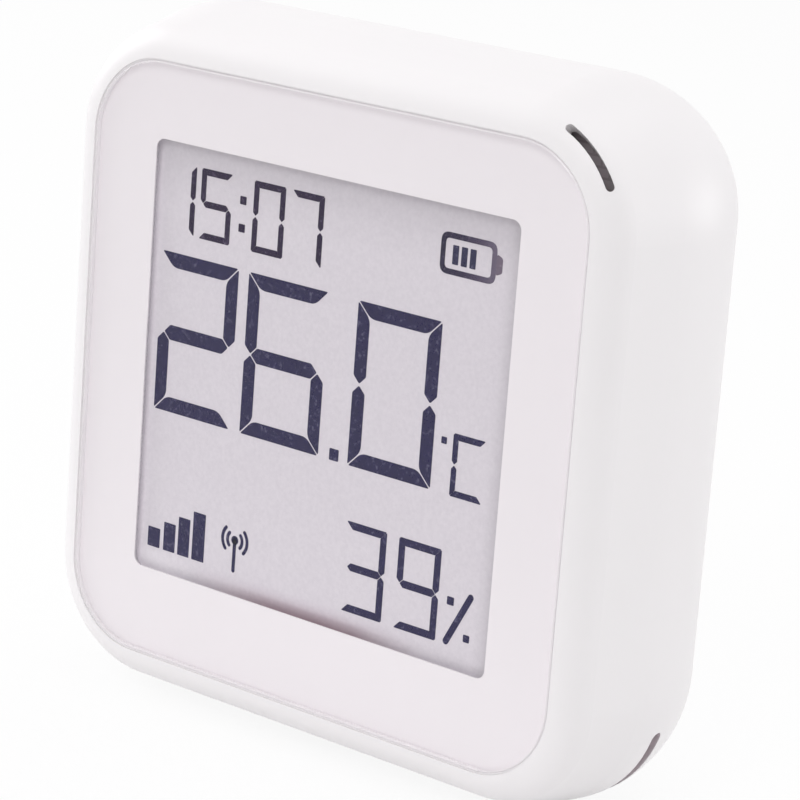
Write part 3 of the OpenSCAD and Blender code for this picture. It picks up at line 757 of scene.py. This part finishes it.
# What the display shows. A row of digits has pairs of a character and its left side, their foot,
# and their width, height and stroke. A box has its left, foot, right and top.
TIME_ROW = (("1", -21.36), ("5", -16.72), ("0", -9.97), ("7", -5.16))
TIME_FOOT = 13.24
TIME_SIZE = (3.96, 6.94, 0.65)
COLON_DOTS = ((-11.68, 14.85, -10.88, 15.65), (-11.68, 17.56, -10.88, 18.36))
LARGE_ROW = (("2", -21.30), ("6", -9.96), ("0", 3.71))
LARGE_FOOT = -4.81
LARGE_SIZE = (10.02, 16.03, 1.5)
POINT_DOT = (1.44, -4.81, 2.59, -3.65)
UNIT_ROW = (("C", 16.01),)
UNIT_FOOT = -4.86
UNIT_SIZE = (3.76, 6.03, 0.62)
DEGREE_DOT = (14.63, -0.10, 15.27, 0.56)
HUMID_FOOT = -19.13
HUMID_TENS = (("3", 4.20),)
HUMID_TENS_SIZE = (4.95, 8.95, 0.76)
HUMID_ONES = (("9", 10.64),)
HUMID_ONES_SIZE = (5.08, 8.95, 0.76)
PERCENT_DOTS = ((16.76, -15.22, 17.57, -14.41), (18.95, -18.34, 19.68, -17.61))
PERCENT_LINE = ((16.96, -18.80), (19.48, -13.92))
PERCENT_W = 0.68
# Roundings of the dots and of the narrow bars
SMALL_DOT_R = 0.1
DOT_R = 0.12
BAR_R = 0.08

# Battery: its frame, the frame's wall and roundings outside and inside, the bars in it, and the nub
# with its slant
BATTERY = (12.84, 15.75, 19.27, 19.67)
BATTERY_WALL = 0.55
BATTERY_R = 0.9
BATTERY_IN_R = 0.45
CHARGE_LEFT = (14.24, 15.25, 16.25)
CHARGE_W = 0.69
CHARGE_FOOT = 16.75
CHARGE_TOP = 18.56
NUB = (19.27, 16.65, 19.97, 18.66)
NUB_SLANT = 0.3
NUB_R = 0.25

# Signal: the left, right and top of each bar, and their foot
SIGNAL_BARS = (
    (-21.12, -19.51, -17.02),
    (-19.02, -17.48, -16.11),
    (-17.10, -15.58, -15.11),
    (-15.19, -13.58, -14.10),
)
SIGNAL_FOOT = -19.03

# A plain radio mast takes the place of the trade-marked wireless sign in the photo: its post, the
# round head and the waves on both sides, each by its radius and half of its arc in degrees
MAST_X = -9.66
MAST_FOOT = -18.8
MAST_TOP = -15.7
MAST_W = 0.42
MAST_HEAD_R = 0.45
MAST_HEAD_STEPS = 24
WAVE_RADII = (0.95, 1.6)
WAVE_HALF_TURN = 42
WAVE_W = 0.36


def digits(row, foot, size, bars):
    """The outlines of a row of digits."""
    outlines = []
    for character, x in row:
        outlines += digit(character, x, foot, *size, bars)
    return outlines


def make_battery():
    """The battery's frame, its bars and its nub."""
    left, foot, right, top = BATTERY
    inside = (left + BATTERY_WALL, foot + BATTERY_WALL, right - BATTERY_WALL, top - BATTERY_WALL)
    ring = (box(BATTERY, BATTERY_R), box(inside, BATTERY_IN_R))
    film_marks("display_battery_frame", [], ink_fading, [ring])
    bars = [box((x, CHARGE_FOOT, x + CHARGE_W, CHARGE_TOP), BAR_R) for x in CHARGE_LEFT]
    film_marks("display_battery_bars", bars, ink_soft)
    left, foot, right, top = NUB
    nub = [(left, foot), (right, foot + NUB_SLANT), (right, top - NUB_SLANT), (left, top)]
    film_marks("display_battery_nub", [rounded(nub, NUB_R)], ink_grey)


def make_mast():
    """The plain radio mast."""
    mast = [stripe([(MAST_X, MAST_FOOT), (MAST_X, MAST_TOP)], MAST_W)]
    last = 360 - 360 / MAST_HEAD_STEPS
    mast.append(arc_points(MAST_X, MAST_TOP, MAST_HEAD_R, 0, last, MAST_HEAD_STEPS - 1))
    for radius in WAVE_RADII:
        for middle in (0, 180):
            start = middle - WAVE_HALF_TURN
            end = middle + WAVE_HALF_TURN
            mast.append(stripe(arc_points(MAST_X, MAST_TOP, radius, start, end), WAVE_W))
    film_marks("display_radio_mast", mast, ink_dark)


def make_display():
    """Everything that the display shows: time, battery, temperature, signal and humidity."""
    time_marks = digits(TIME_ROW, TIME_FOOT, TIME_SIZE, SMALL_BARS)
    time_marks += [box(dot, SMALL_DOT_R) for dot in COLON_DOTS]
    film_marks("display_time", time_marks, ink_black)

    large = digits(LARGE_ROW, LARGE_FOOT, LARGE_SIZE, LARGE_BARS)
    large.append(box(POINT_DOT, DOT_R))
    film_marks("display_temperature", large, ink_dark)

    unit = digits(UNIT_ROW, UNIT_FOOT, UNIT_SIZE, SMALL_BARS)
    unit.append(box(DEGREE_DOT, SMALL_DOT_R))
    film_marks("display_unit", unit, ink_dark)

    make_battery()
    signal = [box((left, SIGNAL_FOOT, right, top), BAR_R) for left, right, top in SIGNAL_BARS]
    film_marks("display_signal_bars", signal, ink_dark)
    make_mast()

    humid = digits(HUMID_TENS, HUMID_FOOT, HUMID_TENS_SIZE, SMALL_BARS)
    humid += digits(HUMID_ONES, HUMID_FOOT, HUMID_ONES_SIZE, SMALL_BARS)
    humid += [box(dot, DOT_R) for dot in PERCENT_DOTS]
    humid.append(stripe(PERCENT_LINE, PERCENT_W))
    film_marks("display_humidity", humid, ink_dark)


# Printed mask: set a little into the sheet's back, as print is, so that no air lies between them
PRINT_SINK = 0.02


def make_print():
    """The CAD mask's own outline, with its front face moved into the clear sheet."""
    mesh = nodes["panel_mask"].data.copy()
    low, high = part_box("panel_mask")
    middle = (low.y + high.y) / 2
    for vertex in mesh.vertices:
        if vertex.co.y < middle:
            vertex.co.y -= PRINT_SINK * MM
    mesh.materials.clear()
    mesh.materials.append(print_white)
    piece = bpy.data.objects.new("printed_mask", mesh)
    bpy.context.scene.collection.objects.link(piece)
    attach(piece, "case")
    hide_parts("panel_mask")


# Frosted edge of the clear sheet: a narrow ring just inside it. The sink is its distance from the
# sheet's faces, and the turn is how many degrees of the rounded rim it follows.
EDGE_SINK = 0.03
EDGE_TURN = 58
EDGE_STEPS = 6
# Radius of the sheet's rounded rim
EDGE_R = 0.4
# Steps in each corner of the sheet's outline
CORNER_STEPS = 16
# Edges of a ring that turn by more degrees than this stay sharp
SHARP_FROM = 40


def square_path(inset, half):
    """Points of the sheet's rounded outline, inset, with the same number on every inset."""
    points = []
    reach = half - CORNER_AT - inset
    for quarter in range(4):
        side_x = 1 if quarter in (0, 3) else -1
        side_z = 1 if quarter in (0, 1) else -1
        for step in range(CORNER_STEPS + 1):
            turn = math.radians(90 * (quarter + step / CORNER_STEPS))
            points.append((
                side_x * CORNER_AT + reach * math.cos(turn),
                side_z * CORNER_AT + reach * math.sin(turn),
            ))
    return points


def ring_piece(name, section, half, material):
    """Sweeps a section round the sheet's outline.

    section has pairs of an inset from the outline and a place from front to back."""
    bm = bmesh.new()
    rows = [
        [bm.verts.new((x * MM, y * MM, z * MM)) for x, z in square_path(inset, half)]
        for inset, y in section
    ]
    count = len(rows[0])
    for row, after in zip(rows, rows[1:] + rows[:1]):
        for i in range(count):
            j = (i + 1) % count
            bm.faces.new((row[i], row[j], after[j], after[i]))
    piece = new_piece(name, bm, material, "case")
    piece.data.shade_smooth()
    piece.data.set_sharp_from_angle(angle=math.radians(SHARP_FROM))


def make_panel_edge():
    """Ring that follows the sheet's rounded rim from inside and scatters the light there."""
    low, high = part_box("front_panel")
    half = high.x / MM
    front = low.y / MM
    back = high.y / MM - EDGE_SINK
    section = [(EDGE_SINK, back)]
    for step in range(EDGE_STEPS + 1):
        turn = math.radians(EDGE_TURN * step / EDGE_STEPS)
        section.append((
            EDGE_R - (EDGE_R - EDGE_SINK) * math.cos(turn),
            front + EDGE_R - (EDGE_R - EDGE_SINK) * math.sin(turn),
        ))
    section.append((section[-1][0], back))
    ring_piece("panel_edge", section, half, edge_frost)


# Glue that holds the sheet in its recess: a pale bead in the gap round it. Its top and its foot are
# measured from the sheet's front, and it keeps clear of both walls by a little.
GLUE_SINK = 0.24
GLUE_FOOT = 0.75
GLUE_CLEAR = 0.008
PANEL_GAP = 0.15


def make_panel_glue():
    """Ring between the sheet's rounded rim and the wall of its recess."""
    low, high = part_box("front_panel")
    half = high.x / MM
    front = low.y / MM
    outer = PANEL_GAP - GLUE_CLEAR
    section = [(-outer, front + GLUE_FOOT), (-outer, front + GLUE_SINK)]
    for step in range(EDGE_STEPS + 1):
        down = GLUE_SINK + (EDGE_R - GLUE_SINK) * step / EDGE_STEPS
        across = math.sqrt(EDGE_R ** 2 - (EDGE_R - down) ** 2)
        section.append((EDGE_R - across - GLUE_CLEAR, front + down))
    section.append((-GLUE_CLEAR, front + GLUE_FOOT))
    ring_piece("panel_glue", section, half, glue_pale)


# Stage: a white floor, and soft light from above and around


def seen_rays(tree):
    """1 for the rays that show the background: from the camera, in gloss and through glass."""
    path = tree.nodes.new("ShaderNodeLightPath")
    total = path.outputs["Is Camera Ray"]
    for name in ("Is Glossy Ray", "Is Transmission Ray"):
        total = calculated(tree, "MAXIMUM", total, path.outputs[name])
    return total


# Half of the floor's side in metres, and how much of its look is plain white
FLOOR_HALF = 3.0
FLOOR_GLOW = 0.9


def make_floor():
    """White floor under the object. It takes the object's shadow."""
    bm = bmesh.new()
    bmesh.ops.create_grid(bm, x_segments=1, y_segments=1, size=FLOOR_HALF)
    mesh = bpy.data.meshes.new("floor")
    bm.to_mesh(mesh)
    bm.free()
    floor = bpy.data.objects.new("floor", mesh)
    floor.location = (0, 0, cad_box[0][2])
    bpy.context.scene.collection.objects.link(floor)
    material, tree, shader = new_material("floor_white")
    shader.inputs["Base Color"].default_value = (0.93, 0.93, 0.93, 1.0)
    shader.inputs["Roughness"].default_value = 0.9
    shader.inputs["Specular IOR Level"].default_value = 0.0
    glow = tree.nodes.new("ShaderNodeEmission")
    glow.inputs["Color"].default_value = (1, 1, 1, 1)
    glow.inputs["Strength"].default_value = 1.0
    share = calculated(tree, "MULTIPLY", seen_rays(tree), FLOOR_GLOW)
    put_out(tree, "Material Output", share, shader.outputs["BSDF"], glow.outputs["Emission"])
    mesh.materials.append(material)


# Strength of the surround where it lights the object
WORLD_LIGHT = 0.57


def make_world():
    """Even white surround: white where it is seen, and softer where it lights the object."""
    world = bpy.data.worlds.new("surround")
    world.use_nodes = True
    tree = world.node_tree
    lit = tree.nodes["Background"]
    lit.inputs["Color"].default_value = (1.0, 0.99, 1.0, 1.0)
    lit.inputs["Strength"].default_value = WORLD_LIGHT
    seen = tree.nodes.new("ShaderNodeBackground")
    seen.inputs["Color"].default_value = (1, 1, 1, 1)
    seen.inputs["Strength"].default_value = 1.0
    pair = (lit.outputs["Background"], seen.outputs["Background"])
    put_out(tree, "World Output", seen_rays(tree), *pair)
    bpy.context.scene.world = world


# Soft boxes: where each stands and its side, in metres, and its power in watts
SOFT_BOXES = {
    "top_box": ((0.10, 0.10, 0.75), 0.6, 1.42),
    "back_box": ((0.45, 0.45, 0.03), 0.3, 1.06),
    "left_box": ((-0.70, -0.10, 0.30), 0.5, 1.8),
    "front_box": ((0.12, -0.60, 0.55), 0.35, 1.33),
}


def make_lamp(name, at, size, power):
    """Square soft box that faces the middle of the object."""
    data = bpy.data.lights.new(name, "AREA")
    data.shape = "SQUARE"
    data.size = size
    data.energy = power
    lamp = bpy.data.objects.new(name, data)
    lamp.location = at
    lamp.rotation_euler = (-Vector(at)).to_track_quat("-Z", "Y").to_euler()
    bpy.context.scene.collection.objects.link(lamp)


# Low card: its width and depth, where it lies and how far above the floor, in metres, the way it
# faces, and its power in watts
CARD_W = 0.085
CARD_D = 0.02
CARD_AT = (-0.010, -0.040)
CARD_UP = 0.001
CARD_FACES = Vector((0, 0.2, 1))
CARD_POWER = 0.0021


def make_card():
    """Low white card before the object's foot, which throws some light up at the front."""
    data = bpy.data.lights.new("low_card", "AREA")
    data.shape = "RECTANGLE"
    data.size = CARD_W
    data.size_y = CARD_D
    data.energy = CARD_POWER
    card = bpy.data.objects.new("low_card", data)
    card.location = (*CARD_AT, cad_box[0][2] + CARD_UP)
    card.rotation_euler = CARD_FACES.to_track_quat("-Z", "Y").to_euler()
    card.visible_camera = False
    card.visible_glossy = False
    bpy.context.scene.collection.objects.link(card)


def make_stage():
    """Floor, surround and lamps."""
    make_floor()
    make_world()
    for name, (at, size, power) in SOFT_BOXES.items():
        make_lamp(name, at, size, power)
    make_card()
    bpy.context.scene.view_settings.view_transform = "Standard"


make_camera()
dress_nodes()
make_print()
make_panel_edge()
make_panel_glue()
make_display()
make_stage()
